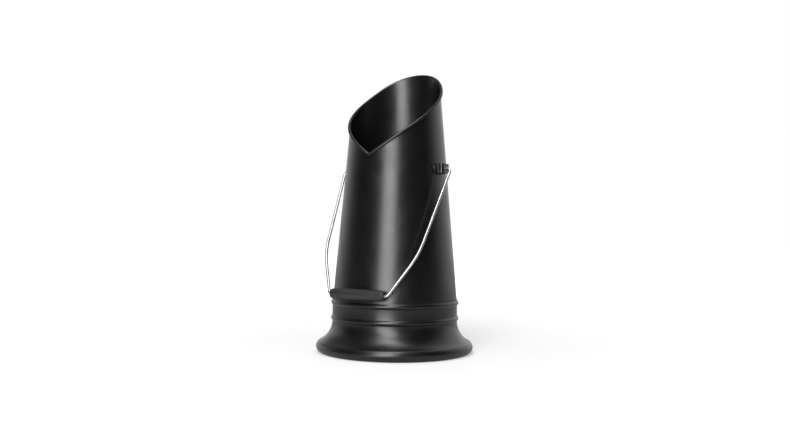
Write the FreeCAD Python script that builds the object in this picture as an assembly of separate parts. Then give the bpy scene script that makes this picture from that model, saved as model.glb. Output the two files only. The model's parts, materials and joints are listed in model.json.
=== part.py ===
import FreeCAD, Part
import math
import os

V = FreeCAD.Vector

# Sheet steel and fits, in millimetres
SHEET = 1.0
FIT_GAP = 0.1
RUNNING_GAP = 0.1
REST_GAP = 0.4

# Base skirt: a beaded ring that flares out to a rolled foot
FLARE_REACH = 28.5
FLARE_TURN_DEG = 63.7
FOOT_ROLL_DIAMETER = 21.0
FOOT_LAND = 6.0
BEAD_WIDTH = 8.0
BEAD_RISE = 2.4
BEAD_SPACING = 27.5
BEAD_LAND = 0.3
SKIRT_TOP_LAND = 1.6

# Body: a straight collar inside the skirt, then a tapered tube
COLLAR_DIAMETER = 220.8
COLLAR_REVEAL = 1.0
COLLAR_DROP = 10.0
TAPER_DEG = 5.0
MOUTH_FRONT_RISE = 249.0
MOUTH_BACK_RISE = 409.0
MOUTH_STRAIGHT_DEG = 125.0
RIM_WIRE_DIAMETER = 3.0
RIM_EDGE_SHARE = 0.46
ROLL_END_GAP = 1.2
LOCK_SEAM_WIDTH = 8.0
LOCK_SEAM_RISE = 1.2

# Floor: a pressed pan held in the collar
FLOOR_CORNER_RADIUS = 4.0
FLOOR_RING_RADIUS = 62.0
FLOOR_RING_WIDTH = 12.0
FLOOR_RING_RISE = 2.5

# Ears: bridge straps riveted to the sides
PIVOT_RISE = 229.0
EAR_SHEET = 2.0
EAR_HEIGHT = 16.0
EAR_BRIDGE_WIDTH = 26.0
EAR_FOOT_LENGTH = 12.0
EAR_STANDOFF = 9.0
EAR_BEND_RADIUS = 4.5
EAR_CORNER_RADIUS = 4.0
RIVET_DIAMETER = 4.0
RIVET_HEAD_DIAMETER = 8.0
RIVET_HEAD_RISE = 2.2
RIVET_TAIL_DIAMETER = 6.4
RIVET_TAIL_RISE = 1.6

# Bail: a bent wire with upset ends, and a bored grip
BAIL_WIRE_DIAMETER = 5.0
BAIL_REACH = 247.6
BAIL_EAR_GAP = 1.6
BAIL_SHOULDER_RADIUS = 8.0
BAIL_KNEE_INSET = 16.0
BAIL_KNEE_DROP = 170.0
BAIL_KNEE_RADIUS = 150.0
BAIL_CORNER_RADIUS = 7.0
BAIL_HEAD_DIAMETER = 9.0
BAIL_HEAD_LENGTH = 2.2
GRIP_LENGTH = 106.0
GRIP_MIDDLE_DIAMETER = 20.0
GRIP_END_DIAMETER = 17.0
GRIP_EDGE_RADIUS = 2.5
GRIP_MOUTH_DIAMETER = 9.0
GRIP_MOUTH_DEPTH = 2.0
GRIP_END_PLAY = 0.4

# How the curved mouth is divided for building
MOUTH_SPAN_DEG = 15.0
TURN_STEP_DEG = 0.01
CUT_MARGIN = 30.0
CUT_REACH_SHARES = (0.5, 1.5)
SEAM_BITE_SHARE = 0.5

ORIGIN = V(0, 0, 0)
UP = V(0, 0, 1)
RIGHT = V(1, 0, 0)
BACK = V(0, 1, 0)

# Levels and radii that follow from the driving sizes
taper = math.radians(TAPER_DEG)
flare_turn = math.radians(FLARE_TURN_DEG)
collar_radius = COLLAR_DIAMETER / 2
skirt_inner_radius = collar_radius + FIT_GAP
skirt_radius = skirt_inner_radius + SHEET
foot_radius = skirt_radius + FLARE_REACH
foot_roll_radius = FOOT_ROLL_DIAMETER / 2
flare_radius = FLARE_REACH / (1 - math.cos(flare_turn)) - foot_roll_radius
flare_top_z = foot_roll_radius + (flare_radius + foot_roll_radius) * math.sin(flare_turn)
bead_half = BEAD_WIDTH / 2
bead_radius = (bead_half * bead_half + BEAD_RISE * BEAD_RISE) / (2 * BEAD_RISE)


def bead_run(offset):
    """Half the height of a swage on a face set off from the collar's outside."""
    return math.sqrt((bead_radius + offset) ** 2 - (bead_radius - BEAD_RISE + offset) ** 2)


skirt_bead_run = bead_run(FIT_GAP + SHEET)
lower_bead_z = flare_top_z + BEAD_LAND + skirt_bead_run
upper_bead_z = lower_bead_z + BEAD_SPACING
skirt_top_z = upper_bead_z + skirt_bead_run + SKIRT_TOP_LAND
collar_top_z = skirt_top_z + COLLAR_REVEAL
collar_bottom_z = flare_top_z - COLLAR_DROP
mouth_front_z = collar_top_z + MOUTH_FRONT_RISE
mouth_back_z = collar_top_z + MOUTH_BACK_RISE
pivot_z = collar_top_z + PIVOT_RISE
rim_hole_radius = RIM_WIRE_DIAMETER / 2 + FIT_GAP
rim_roll_radius = rim_hole_radius + SHEET
rim_edge_drop = RIM_EDGE_SHARE * rim_roll_radius
mouth_spans = round(180 / MOUTH_SPAN_DEG)


def cone_radius(z, offset):
    """Radius of the tapered tube at a height, on a face set off from its outside."""
    return collar_radius - (z - collar_top_z) * math.tan(taper) + offset / math.cos(taper)


pivot_body_radius = cone_radius(pivot_z, 0)
ear_inside_x = pivot_body_radius + EAR_STANDOFF
ear_outside_x = ear_inside_x + EAR_SHEET


def line(start, end):
    return Part.makeLine(start, end)


def arc(start, middle, end):
    return Part.Arc(start, middle, end).toShape()


def in_front(radius, z):
    """A point of an outline drawn in the plane through the axis and the mouth's front."""
    return V(0, -radius, z)


def bead_edge(offset, centre_z):
    """A half-round swage on a straight wall, and the points where it leaves the wall."""
    wall = collar_radius + offset
    low = in_front(wall, centre_z - bead_run(offset))
    high = in_front(wall, centre_z + bead_run(offset))
    return arc(low, in_front(wall + BEAD_RISE, centre_z), high), low, high


def beaded_wall(offset, start_z, end):
    """A straight wall that carries both swages, from a height up to an end point."""
    edges = []
    at = in_front(collar_radius + offset, start_z)
    for centre_z in (lower_bead_z, upper_bead_z):
        bead, low, high = bead_edge(offset, centre_z)
        edges += [line(at, low), bead]
        at = high
    edges.append(line(at, end))
    return edges


def outline_face(edges):
    return Part.Face(Part.Wire(Part.__sortEdges__(edges)))


def turned(face):
    """A full ring from an outline."""
    return face.revolve(ORIGIN, UP, 360)


def mirrored(shape):
    return shape.mirror(ORIGIN, RIGHT)


def box_between(low, high):
    size = high - low
    return Part.makeBox(size.x, size.y, size.z, low)


def arc_move(start, heading, end):
    """Centre, axis and turn of the arc that leaves a point on a heading and meets another."""
    chord = end - start
    axis = heading.cross(chord).normalize()
    half_turn = heading.getAngle(chord)
    radius = chord.Length / (2 * math.sin(half_turn))
    centre = start + axis.cross(heading) * radius
    return centre, axis, math.degrees(2 * half_turn)


def arc_pair(start, start_heading, end, end_heading):
    """Two arcs that join two points with the headings given at both."""
    chord = end - start
    both = start_heading + end_heading
    spread = 2 * (start_heading.dot(end_heading) - 1)
    along = chord.dot(both)
    square = chord.dot(chord)
    reach = square / (along + math.sqrt(along * along - spread * square))
    leave = start + start_heading * reach
    arrive = end - end_heading * reach
    middle = (leave + arrive) * 0.5
    heading = (arrive - leave).normalize()
    return [arc_move(start, start_heading, middle), arc_move(middle, heading, end)]


def round_bar(start, heading, radius, moves):
    """A round bar along straight runs (vectors) and arcs (centre, axis, turn)."""
    section = Part.Face(Part.Wire(Part.makeCircle(radius, start, heading)))
    skin = [section.copy()]
    for move in moves:
        if isinstance(move, tuple):
            centre, axis, degrees = move
            run = section.revolve(centre, axis, degrees)
            section = section.copy()
            section.rotate(centre, axis, degrees)
        else:
            run = section.extrude(move)
            section = section.copy()
            section.translate(move)
        skin += [face for face in run.Faces if not isinstance(face.Surface, Part.Plane)]
    skin.append(section)
    shell = Part.makeShell(skin)
    shell.sewShape()
    bar = Part.makeSolid(shell)
    if bar.Volume < 0:
        bar.reverse()
    return bar


# Mouth: how high its edge stands at each angle from the front

def mouth_z(turn):
    """Straight climb from the front point, easing off to level at the back."""
    ease = 180 - MOUTH_STRAIGHT_DEG
    climb = (mouth_back_z - mouth_front_z) / (MOUTH_STRAIGHT_DEG + ease / 2)
    if turn <= MOUTH_STRAIGHT_DEG:
        return mouth_front_z + climb * turn
    return mouth_back_z - climb * (180 - turn) ** 2 / (2 * ease)


def around(turn, radius, z):
    angle = math.radians(turn)
    return V(radius * math.sin(angle), -radius * math.cos(angle), z)


def rim_point(turn):
    z = mouth_z(turn)
    return around(turn, cone_radius(z, rim_hole_radius), z)


def rim_heading(turn):
    return (rim_point(turn + TURN_STEP_DEG) - rim_point(turn - TURN_STEP_DEG)).normalize()


def half_rim(radius):
    """Right half of a bar along the mouth's edge, mitred at the front point."""
    turns = [180 * i / mouth_spans for i in range(mouth_spans + 1)]
    heading = rim_heading(0)
    lead = heading * (4 * radius)
    moves = [lead]
    for low, high in zip(turns, turns[1:]):
        moves += arc_pair(rim_point(low), rim_heading(low), rim_point(high), rim_heading(high))
    bar = round_bar(rim_point(0) - lead, heading, radius, moves)
    front_left = box_between(V(-collar_radius, -2 * collar_radius, 0), V(0, 0, mouth_back_z))
    return bar.cut(front_left)


def mouth_cutter():
    """All that lies above the sheet's cut edge on the right half."""
    sections = []
    top = mouth_back_z + CUT_MARGIN
    for i in range(-1, mouth_spans + 2):
        turn = 180 * i / mouth_spans
        low = mouth_z(turn) - rim_edge_drop
        radius = cone_radius(low, 0)
        inner, outer = (share * radius for share in CUT_REACH_SHARES)
        corners = [
            around(turn, inner, low),
            around(turn, outer, low),
            around(turn, outer, top),
            around(turn, inner, top),
        ]
        sections.append(Part.makePolygon(corners + corners[:1]))
    return Part.makeLoft(sections, True, False)


# Body shell

def shell_face_edges(offset):
    turn_z = collar_top_z + offset * math.tan(taper / 2)
    turn_point = in_front(collar_radius + offset, turn_z)
    top_z = mouth_back_z + CUT_MARGIN
    top_point = in_front(cone_radius(top_z, offset), top_z)
    edges = beaded_wall(offset, collar_bottom_z, turn_point)
    return edges + [line(turn_point, top_point)], top_point


def half_lock_seam():
    """Folded seam that closes the rolled sheet up the back."""
    low = collar_top_z + COLLAR_REVEAL
    high = mouth_back_z - rim_hole_radius
    bite = -SEAM_BITE_SHARE * SHEET
    corners = [
        V(0, cone_radius(low, bite), low),
        V(0, cone_radius(low, LOCK_SEAM_RISE), low),
        V(0, cone_radius(high, LOCK_SEAM_RISE), high),
        V(0, cone_radius(high, bite), high),
    ]
    return Part.Face(Part.makePolygon(corners + corners[:1])).extrude(V(LOCK_SEAM_WIDTH / 2, 0, 0))


def rivet_turns():
    """How far round the body from the pivot the right ear's rivets sit."""
    side = EAR_BRIDGE_WIDTH / 2 + EAR_FOOT_LENGTH / 2
    turn = math.degrees(math.asin(side / pivot_body_radius))
    return [-turn, turn]


def placed_on_side(shape, turn):
    """Stands a shape drawn along X square on the body at the pivot's height."""
    shape = shape.copy()
    shape.rotate(ORIGIN, BACK, -TAPER_DEG)
    shape.translate(V(pivot_body_radius, 0, pivot_z))
    shape.rotate(ORIGIN, UP, turn)
    return shape


def rivet_holes():
    depth = EAR_STANDOFF + EAR_SHEET
    hole = Part.makeCylinder(RIVET_DIAMETER / 2 + FIT_GAP, 2 * depth, V(-depth, 0, 0), RIGHT)
    return [placed_on_side(hole, turn) for turn in rivet_turns()]


def body_shell():
    outside, outside_top = shell_face_edges(0)
    inside, inside_top = shell_face_edges(-SHEET)
    foot = line(in_front(collar_radius, collar_bottom_z), in_front(collar_radius - SHEET, collar_bottom_z))
    face = outline_face(outside + inside + [line(outside_top, inside_top), foot])
    half = face.revolve(ORIGIN, UP, 180)
    half = half.cut(mouth_cutter())
    half = half.cut(rivet_holes())
    half = half.fuse([half_lock_seam(), half_rim(rim_roll_radius)])
    half = half.cut(half_rim(rim_hole_radius))
    back = rim_point(180)
    slit_low = V(-ROLL_END_GAP, back.y, back.z - 2 * rim_roll_radius)
    slit_high = V(ROLL_END_GAP / 2, back.y + 2 * rim_roll_radius, back.z)
    half = half.cut(box_between(slit_low, slit_high))
    return half.fuse(mirrored(half))


def mouth_rim_wire():
    half = half_rim(RIM_WIRE_DIAMETER / 2)
    return half.fuse(mirrored(half))


# Base skirt

def skirt_face_edges(offset):
    """One face of the skirt sheet, from its top edge down round the foot roll."""
    roll_axis_r = foot_radius - foot_roll_radius
    roll = foot_roll_radius + offset
    flare_axis_r = skirt_radius + flare_radius
    flare = flare_radius - offset
    wall = FIT_GAP + SHEET + offset

    def on_flare(angle):
        return in_front(flare_axis_r - flare * math.cos(angle), flare_top_z - flare * math.sin(angle))

    def on_roll(angle):
        return in_front(roll_axis_r + roll * math.cos(angle), foot_roll_radius + roll * math.sin(angle))

    edges = beaded_wall(wall, flare_top_z, in_front(collar_radius + wall, skirt_top_z))
    edges.append(arc(on_flare(0), on_flare(flare_turn / 2), on_flare(flare_turn)))
    bottom = -math.pi / 2
    edges.append(arc(on_roll(flare_turn), on_roll((flare_turn + bottom) / 2), on_roll(bottom)))
    end = on_roll(bottom) + V(0, FOOT_LAND, 0)
    edges.append(line(on_roll(bottom), end))
    return edges, end


def base_skirt():
    outside, outside_end = skirt_face_edges(0)
    inside, inside_end = skirt_face_edges(-SHEET)
    top = line(in_front(skirt_radius, skirt_top_z), in_front(skirt_inner_radius, skirt_top_z))
    return turned(outline_face(outside + inside + [top, line(outside_end, inside_end)]))


# Floor pan

def floor_face_edges(offset):
    """One face of the pan, from its middle out over a pressed ring to its flange."""
    radius = collar_radius - SHEET - FIT_GAP + offset
    corner = FLOOR_CORNER_RADIUS + offset
    top_z = flare_top_z + offset
    half = FLOOR_RING_WIDTH / 2
    ring = (half * half + FLOOR_RING_RISE * FLOOR_RING_RISE) / (2 * FLOOR_RING_RISE)
    ring_axis_z = flare_top_z + FLOOR_RING_RISE - ring
    reach = ring + offset
    run = math.sqrt(reach * reach - (top_z - ring_axis_z) ** 2)
    near = in_front(FLOOR_RING_RADIUS - run, top_z)
    crown = in_front(FLOOR_RING_RADIUS, ring_axis_z + reach)
    far = in_front(FLOOR_RING_RADIUS + run, top_z)
    axis_r = radius - corner
    axis_z = top_z - corner
    corner_mid = in_front(axis_r + corner * math.cos(math.pi / 4), axis_z + corner * math.sin(math.pi / 4))
    middle = in_front(0, top_z)
    end = in_front(radius, collar_bottom_z)
    edges = [
        line(middle, near),
        arc(near, crown, far),
        line(far, in_front(axis_r, top_z)),
        arc(in_front(axis_r, top_z), corner_mid, in_front(radius, axis_z)),
        line(in_front(radius, axis_z), end),
    ]
    return edges, middle, end


def floor_pan():
    above, above_middle, above_end = floor_face_edges(0)
    below, below_middle, below_end = floor_face_edges(-SHEET)
    return turned(outline_face(above + below + [line(above_middle, below_middle), line(above_end, below_end)]))


# Ears and their rivets

def body_cone(offset):
    """Everything inside a face set off from the tapered tube's outside."""
    height = MOUTH_BACK_RISE
    low = cone_radius(collar_top_z, offset)
    high = cone_radius(collar_top_z + height, offset)
    cone = Part.makeCone(low, high, height, V(0, 0, collar_top_z), UP)
    cone.rotate(ORIGIN, UP, 180)
    return cone


def ear_block(half_y, half_z, high_x):
    """A block about the pivot, from the middle of the body out to the right."""
    return box_between(V(0, -half_y, pivot_z - half_z), V(high_x, half_y, pivot_z + half_z))


def edges_along(block, direction):
    return [edge for edge in block.Edges if abs(edge.tangentAt(edge.FirstParameter).dot(direction)) > 0.5]


def rounded_strap(half_y, half_z, high_x):
    """The flat strap's outline, with rounded corners."""
    block = ear_block(half_y, half_z, high_x)
    return block.makeFillet(EAR_CORNER_RADIUS, edges_along(block, RIGHT))


def rounded_bridge(half_y, half_z, high_x, bend_radius):
    """A block that stands out from the body, rounded where the strap is bent."""
    block = ear_block(half_y, half_z, high_x)
    bends = [edge for edge in edges_along(block, UP) if edge.CenterOfMass.x > high_x / 2]
    return block.makeFillet(bend_radius, bends)


def right_ear():
    half_height = EAR_HEIGHT / 2
    bridge_half = EAR_BRIDGE_WIDTH / 2
    seat = body_cone(FIT_GAP)
    strap = rounded_strap(bridge_half + EAR_FOOT_LENGTH, half_height, ear_outside_x)
    feet = body_cone(FIT_GAP + EAR_SHEET).common(strap)
    bridge = rounded_bridge(bridge_half, half_height, ear_outside_x, EAR_BEND_RADIUS)
    pocket = rounded_bridge(bridge_half - EAR_SHEET, EAR_HEIGHT, ear_inside_x, EAR_BEND_RADIUS - EAR_SHEET)
    pin_radius = BAIL_WIRE_DIAMETER / 2 + RUNNING_GAP
    pin_hole = Part.makeCylinder(pin_radius, ear_outside_x, V(pivot_body_radius, 0, pivot_z), RIGHT)
    ear = feet.fuse(bridge)
    for away in [seat, pocket, pin_hole] + rivet_holes():
        ear = ear.cut(away)
    return ear


def right_ear_rivets():
    """Domed heads outside, shanks through ear and body, upset tails inside."""
    head_seat = FIT_GAP + EAR_SHEET + FIT_GAP
    tail_seat = -SHEET - FIT_GAP
    shank = RIVET_DIAMETER / 2
    head = RIVET_HEAD_DIAMETER / 2
    tail = RIVET_TAIL_DIAMETER / 2
    tail_end = tail_seat - RIVET_TAIL_RISE
    head_end = head_seat + RIVET_HEAD_RISE
    head_mid = (head_seat + head_end) / 2
    dome = (head * head + RIVET_HEAD_RISE * RIVET_HEAD_RISE) / (2 * RIVET_HEAD_RISE)
    dome_mid_r = math.sqrt(dome * dome - (dome - RIVET_HEAD_RISE / 2) ** 2)
    edges = [
        line(V(tail_end, 0, 0), V(tail_end, tail, 0)),
        line(V(tail_end, tail, 0), V(tail_seat, tail, 0)),
        line(V(tail_seat, tail, 0), V(tail_seat, shank, 0)),
        line(V(tail_seat, shank, 0), V(head_seat, shank, 0)),
        line(V(head_seat, shank, 0), V(head_seat, head, 0)),
        arc(V(head_seat, head, 0), V(head_mid, dome_mid_r, 0), V(head_end, 0, 0)),
        line(V(head_end, 0, 0), V(tail_end, 0, 0)),
    ]
    rivet = outline_face(edges).revolve(ORIGIN, RIGHT, 360)
    return Part.makeCompound([placed_on_side(rivet, turn) for turn in rivet_turns()])


# Bail and grip

def bail_tilt():
    """Lean of the hanging bail from straight down, with its grip against the body."""
    stand = GRIP_MIDDLE_DIAMETER / 2 + REST_GAP + pivot_body_radius * math.cos(taper)
    return taper + math.asin(stand / BAIL_REACH)


def in_bail(across, drop):
    """A point of the hanging bail, by its side distance and its drop from the pivot."""
    tilt = bail_tilt()
    return V(across, -drop * math.sin(tilt), pivot_z - drop * math.cos(tilt))


def rounded_route(corners, radii):
    """Straight runs and arcs through corner points, with a bend radius at each one between."""
    moves = []
    at = corners[0]
    for before, corner, after, radius in zip(corners, corners[1:], corners[2:], radii):
        arriving = (corner - before).normalize()
        leaving = (after - corner).normalize()
        setback = radius * math.tan(arriving.getAngle(leaving) / 2)
        bend_start = corner - arriving * setback
        bend_end = corner + leaving * setback
        moves.append(bend_start - at)
        moves.append(arc_move(bend_start, arriving, bend_end))
        at = bend_end
    moves.append(corners[-1] - at)
    return moves


def grip_corner_across(knee_across):
    """Where the wire's bend past the grip would come to a point, for a run up to the knee."""
    straight = GRIP_LENGTH / 2 + GRIP_END_PLAY
    out = knee_across - straight
    up = BAIL_REACH - BAIL_CORNER_RADIUS - BAIL_KNEE_DROP
    turn = math.atan2(up, out) + math.asin(BAIL_CORNER_RADIUS / math.hypot(out, up))
    return straight + BAIL_CORNER_RADIUS * math.tan(turn / 2)


def bail_wire():
    head_in = ear_inside_x - REST_GAP - BAIL_HEAD_LENGTH
    shoulder = ear_outside_x + BAIL_EAR_GAP + BAIL_SHOULDER_RADIUS
    knee = shoulder - BAIL_KNEE_INSET
    half = [
        in_bail(head_in, 0),
        in_bail(shoulder, 0),
        in_bail(knee, BAIL_KNEE_DROP),
        in_bail(grip_corner_across(knee), BAIL_REACH),
    ]
    corners = half + [V(-point.x, point.y, point.z) for point in reversed(half)]
    bends = [BAIL_SHOULDER_RADIUS, BAIL_KNEE_RADIUS, BAIL_CORNER_RADIUS]
    moves = rounded_route(corners, bends + bends[::-1])
    wire = round_bar(corners[0], RIGHT, BAIL_WIRE_DIAMETER / 2, moves)
    head = Part.makeCylinder(BAIL_HEAD_DIAMETER / 2, BAIL_HEAD_LENGTH, in_bail(head_in, 0), RIGHT)
    return wire.fuse([head, mirrored(head)])


def bail_grip():
    """Barrel-turned grip with eased edges and a countersunk bore."""
    half = GRIP_LENGTH / 2
    bore = BAIL_WIRE_DIAMETER / 2 + RUNNING_GAP
    mouth = GRIP_MOUTH_DIAMETER / 2
    end = GRIP_END_DIAMETER / 2
    edge_x = half - GRIP_EDGE_RADIUS
    face_r = end - GRIP_EDGE_RADIUS
    ease = GRIP_EDGE_RADIUS * math.cos(math.pi / 4)
    barrel_left = V(-edge_x, end, 0)
    barrel_right = V(edge_x, end, 0)
    edges = [
        arc(barrel_left, V(0, GRIP_MIDDLE_DIAMETER / 2, 0), barrel_right),
        line(V(-half + GRIP_MOUTH_DEPTH, bore, 0), V(half - GRIP_MOUTH_DEPTH, bore, 0)),
    ]
    for side in (-1, 1):
        edges += [
            arc(V(side * edge_x, end, 0), V(side * (edge_x + ease), face_r + ease, 0), V(side * half, face_r, 0)),
            line(V(side * half, face_r, 0), V(side * half, mouth, 0)),
            line(V(side * half, mouth, 0), V(side * (half - GRIP_MOUTH_DEPTH), bore, 0)),
        ]
    grip = outline_face(edges).revolve(ORIGIN, RIGHT, 360)
    grip.translate(in_bail(0, BAIL_REACH))
    return grip


os.makedirs("parts", exist_ok=True)
ear = right_ear()
rivets = right_ear_rivets()
nodes = {
    "body_shell": body_shell(),
    "mouth_rim_wire": mouth_rim_wire(),
    "base_skirt": base_skirt(),
    "floor_pan": floor_pan(),
    "right_ear": ear,
    "left_ear": mirrored(ear),
    "right_ear_rivets": rivets,
    "left_ear_rivets": mirrored(rivets),
    "bail_wire": bail_wire(),
    "bail_grip": bail_grip(),
}
for name, shape in nodes.items():
    shape.exportStep("parts/" + name + ".step")
    print(name, shape.isValid(), len(shape.Solids), round(shape.Volume))
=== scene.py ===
import json
import math

import bmesh
import bpy
from mathutils import Matrix, Vector


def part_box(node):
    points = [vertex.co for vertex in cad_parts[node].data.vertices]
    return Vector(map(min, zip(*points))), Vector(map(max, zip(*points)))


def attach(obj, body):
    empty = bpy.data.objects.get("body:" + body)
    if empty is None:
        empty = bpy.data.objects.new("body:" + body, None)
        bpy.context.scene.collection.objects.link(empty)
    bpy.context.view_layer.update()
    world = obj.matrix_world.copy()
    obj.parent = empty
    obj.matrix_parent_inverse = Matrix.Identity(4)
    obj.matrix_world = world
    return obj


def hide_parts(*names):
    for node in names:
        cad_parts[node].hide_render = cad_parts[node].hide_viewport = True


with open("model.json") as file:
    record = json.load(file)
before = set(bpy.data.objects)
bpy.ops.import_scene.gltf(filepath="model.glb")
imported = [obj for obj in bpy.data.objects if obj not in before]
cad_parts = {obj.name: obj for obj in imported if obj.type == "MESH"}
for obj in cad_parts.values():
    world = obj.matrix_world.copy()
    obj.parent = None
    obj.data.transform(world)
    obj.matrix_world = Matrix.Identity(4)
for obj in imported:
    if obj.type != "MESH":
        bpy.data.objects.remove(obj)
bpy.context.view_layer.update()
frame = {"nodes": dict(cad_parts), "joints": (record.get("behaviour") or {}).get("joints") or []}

# Body shell: one sheet of mild steel, 1 mm thick, rolled into a tapered tube. Its straight collar is swaged
# twice to lock into the base skirt, and its slanting mouth is rolled outwards over a stiffening wire.
# It is painted inside and out with satin black stove paint.

mm = 0.001
SHEET = 1.0 * mm
FIT_GAP = 0.1 * mm
TAPER = math.radians(5)
BEAD_RISE = 2.4 * mm
BEAD_WIDTH = 8.0 * mm
BEAD_SPACING = 27.5 * mm
BEAD_FILLET = 0.6 * mm
SKIRT_TOP_LAND = 1.6 * mm
COLLAR_REVEAL = 1.0 * mm
ROLL_RADIUS = 2.6 * mm
ROLL_ZONE = 1.1 * ROLL_RADIUS
ROLL_EDGE_TURN = math.radians(1)
ROLL_END_GAP = 1.2 * mm
MOUTH_CLIMB = 160.0 * mm
MOUTH_STRAIGHT_DEG = 125.0
SLOPE_STEP_DEG = 0.5
COLUMNS = 240
FILLET_STEPS = 4
CROWN_STEPS = 10
ROLL_STEPS = 28
WALL_CUTS = 15
MERGE_DISTANCE = 0.005 * mm
SHARP_ANGLE = math.radians(35)

body_low, body_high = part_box("body_shell")
skirt_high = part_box("base_skirt")[1]
collar_radius = body_high.x - BEAD_RISE
skirt_radius = collar_radius + FIT_GAP + SHEET
collar_top_z = skirt_high.z + COLLAR_REVEAL
mouth_back_z = body_high.z - ROLL_RADIUS
mouth_front_z = mouth_back_z - MOUTH_CLIMB

bead_radius = (BEAD_WIDTH ** 2 / 4 + BEAD_RISE ** 2) / (2 * BEAD_RISE)
bead_axis = collar_radius + BEAD_RISE - bead_radius
fillet_axis = skirt_radius + BEAD_FILLET
swage_reach = bead_radius + FIT_GAP + SHEET + BEAD_FILLET
swage_turn = math.acos((fillet_axis - bead_axis) / swage_reach)
swage_run = swage_reach * math.sin(swage_turn)
bead_run = math.sqrt((swage_reach - BEAD_FILLET) ** 2 - (skirt_radius - bead_axis) ** 2)
upper_bead_z = skirt_high.z - SKIRT_TOP_LAND - bead_run
lower_bead_z = upper_bead_z - BEAD_SPACING


def at_front(radius, z):
    """A point of a profile drawn in the plane through the axis and the mouth's front."""
    return Vector((0, -radius, z))


def new_parts(made, kind):
    """The vertices, edges or faces among what an operator has made."""
    return [part for part in made if isinstance(part, kind)]


def draw_line(bm, last, point):
    """Runs a profile on in a straight line from its last vertex."""
    made = bmesh.ops.extrude_vert_indiv(bm, verts=[last])
    made["verts"][0].co = point
    return made["verts"][0]


def draw_arc(bm, last, centre, turn, steps, axis=(-1, 0, 0)):
    """Runs a profile on round an arc; a positive turn leads from outwards to upwards."""
    made = bmesh.ops.spin(bm, geom=[last], cent=centre, axis=axis, angle=turn, steps=steps)
    return new_parts(made["geom_last"], bmesh.types.BMVert)[0]


def draw_swage(bm, last, radius, bead_z):
    """Runs a profile up a straight wall and over a half-round swage with eased feet."""
    last = draw_line(bm, last, at_front(radius, bead_z - swage_run))
    last = draw_arc(bm, last, at_front(fillet_axis, bead_z - swage_run), -swage_turn, FILLET_STEPS)
    last = draw_arc(bm, last, at_front(bead_axis, bead_z), 2 * swage_turn, CROWN_STEPS)
    return draw_arc(bm, last, at_front(fillet_axis, bead_z + swage_run), -swage_turn, FILLET_STEPS)


def turn_full(bm, axis, steps):
    """Turns a profile into a closed ring about an axis through the origin."""
    parts = bm.verts[:] + bm.edges[:]
    bmesh.ops.spin(
        bm, geom=parts, cent=(0, 0, 0), axis=axis, angle=math.tau, steps=steps, use_merge=True,
    )
    bmesh.ops.remove_doubles(bm, verts=bm.verts[:], dist=MERGE_DISTANCE)
    bmesh.ops.recalc_face_normals(bm, faces=bm.faces[:])


def finish_piece(bm, name, material):
    """Makes an object of a mesh, shaded smooth except across its sharp edges."""
    mesh = bpy.data.meshes.new(name)
    bm.to_mesh(mesh)
    bm.free()
    mesh.shade_smooth()
    mesh.set_sharp_from_angle(angle=SHARP_ANGLE)
    mesh.materials.append(material)
    piece = bpy.data.objects.new(name, mesh)
    bpy.context.scene.collection.objects.link(piece)
    return piece


def cone_radius(z, offset):
    """Radius of the tapered tube at a height, on a face set off from its outside."""
    return collar_radius - (z - collar_top_z) * math.tan(TAPER) + offset / math.cos(TAPER)


def mouth_z(turn_deg):
    """Height of the mouth's edge: a straight climb from the front, easing off to level at the back."""
    ease = 180 - MOUTH_STRAIGHT_DEG
    climb = MOUTH_CLIMB / (MOUTH_STRAIGHT_DEG + ease / 2)
    if turn_deg <= MOUTH_STRAIGHT_DEG:
        return mouth_front_z + climb * turn_deg
    return mouth_back_z - climb * (180 - turn_deg) ** 2 / (2 * ease)


def mouth_slope(turn_deg):
    """How steeply the mouth's edge climbs, as a rise over a run along the sheet."""
    before = max(turn_deg - SLOPE_STEP_DEG, 0)
    after = min(turn_deg + SLOPE_STEP_DEG, 180)
    run = math.radians(after - before) * cone_radius(mouth_z(turn_deg), 0)
    return (mouth_z(after) - mouth_z(before)) / run


def linear(hex_colour):
    """Linear red, green, blue and alpha of an sRGB hex colour."""
    shares = [int(hex_colour[i:i + 2], 16) / 255 for i in (1, 3, 5)]
    return [s / 12.92 if s <= 0.04045 else ((s + 0.055) / 1.055) ** 2.4 for s in shares] + [1.0]


def add_node(tree, kind, inputs, **options):
    """Adds one node, with its options and with values or linked sockets on its inputs."""
    node = tree.nodes.new(kind)
    for name, value in options.items():
        setattr(node, name, value)
    for name, value in inputs.items():
        if isinstance(value, bpy.types.NodeSocket):
            tree.links.new(value, node.inputs[name])
        else:
            node.inputs[name].default_value = value
    return node


def new_material(name):
    """A material with an empty node tree, and the piece's own coordinates to draw its patterns on."""
    material = bpy.data.materials.new(name)
    material.use_nodes = True
    tree = material.node_tree
    tree.nodes.clear()
    place = add_node(tree, "ShaderNodeTexCoord", {}).outputs["Object"]
    return material, tree, place


PAINT_DARK = "#050505"
PAINT_LIGHT = "#0b0b0c"
# Lighter grey for worn paint on the foot, and on the mouth's roll also a painted highlight
PAINT_WEAR_AND_HIGHLIGHT = "#1e1e1d"
PAINT_CLOUDS = 45 * mm
PAINT_SMUDGES = 30 * mm
PAINT_SCUFFS = 5 * mm
PAINT_PEEL = 4 * mm
SHEET_WAVES = 80 * mm
RUBBED_ROUGHNESS = 0.12


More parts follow.
